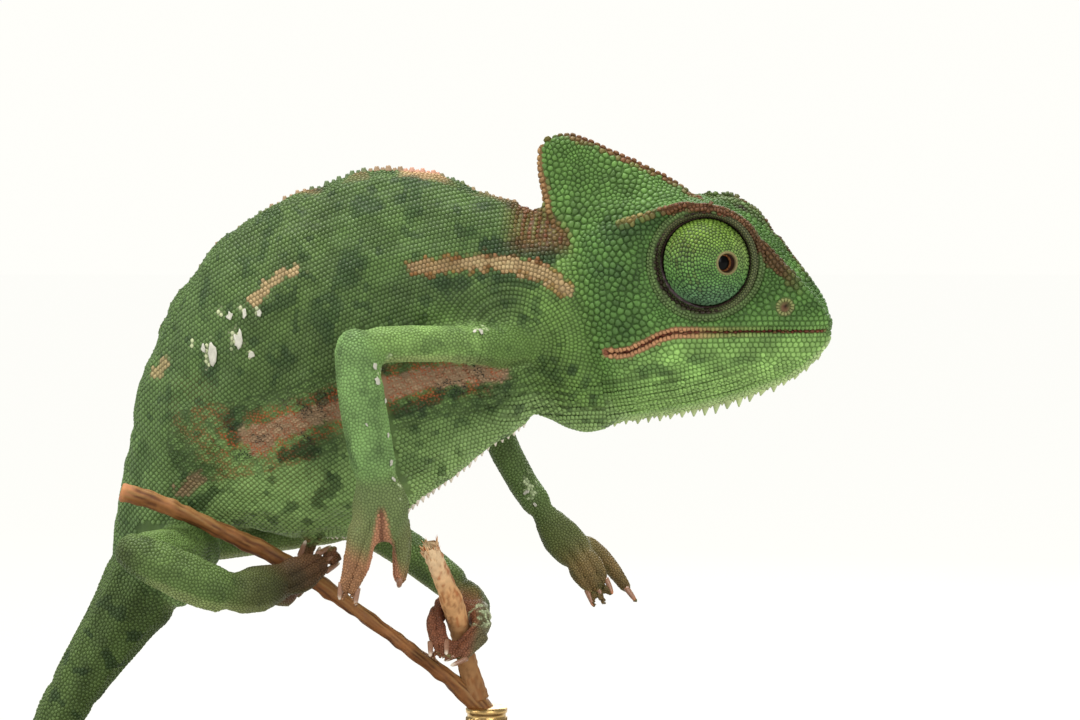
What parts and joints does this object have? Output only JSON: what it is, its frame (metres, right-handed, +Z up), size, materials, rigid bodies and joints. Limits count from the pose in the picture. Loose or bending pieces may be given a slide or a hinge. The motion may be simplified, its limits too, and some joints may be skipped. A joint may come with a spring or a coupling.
{
  "type": "chameleon on a twig stand",
  "caption": "Life-size young veiled chameleon, still, climbing along a short forked twig that a plain rod holds above a flat wooden base.",
  "frame": {"origin": "middle of the stand base's underside", "axes": "+Z up, +X towards the animal's snout end along the base's long side, +Y towards its left flank"},
  "size_m": [0.132, 0.084, 0.1134],
  "materials": {
    "scaly_skin": "matte granular scales, leaf green with tan stripes and dark mottles",
    "toe_skin": "finely granular, pinkish brown to olive",
    "eye_turret": "fine rings of bright green scales round a dark pupil",
    "bark": "smooth red-brown bark",
    "peeled_wood": "dry peeled twig with a frayed end",
    "base_wood": "dark stained wood, satin varnish",
    "rod_brass": "satin brass"
  },
  "bodies": {
    "root": {"belly": "scaly_skin", "casque": "scaly_skin", "chest": "scaly_skin", "eye_left": "eye_turret", "eye_right": "eye_turret", "foot_left": "toe_skin", "foot_left_inner_toes": "toe_skin", "foot_left_outer_toes": "toe_skin", "foot_right": "toe_skin", "foot_right_inner_toes": "toe_skin", "foot_right_outer_toes": "toe_skin", "forearm_left": "scaly_skin", "forearm_right": "scaly_skin", "hand_left": "toe_skin", "hand_left_inner_toes": "toe_skin", "hand_left_outer_toes": "toe_skin", "hand_right": "toe_skin", "hand_right_inner_toes": "toe_skin", "hand_right_outer_toes": "toe_skin", "head": "scaly_skin", "jaw": "scaly_skin", "neck": "scaly_skin", "pelvis": "scaly_skin", "shank_left": "scaly_skin", "shank_right": "scaly_skin", "stand_base": "base_wood", "stand_cup": "rod_brass", "stand_flange": "rod_brass", "stand_rod": "rod_brass", "tail_1": "scaly_skin", "tail_2": "scaly_skin", "tail_3": "scaly_skin", "tail_4": "scaly_skin", "tail_5": "scaly_skin", "thigh_left": "scaly_skin", "thigh_right": "scaly_skin", "twig_main": "bark", "twig_stub": "peeled_wood", "upper_arm_left": "scaly_skin", "upper_arm_right": "scaly_skin"}
  },
  "joints": []
}
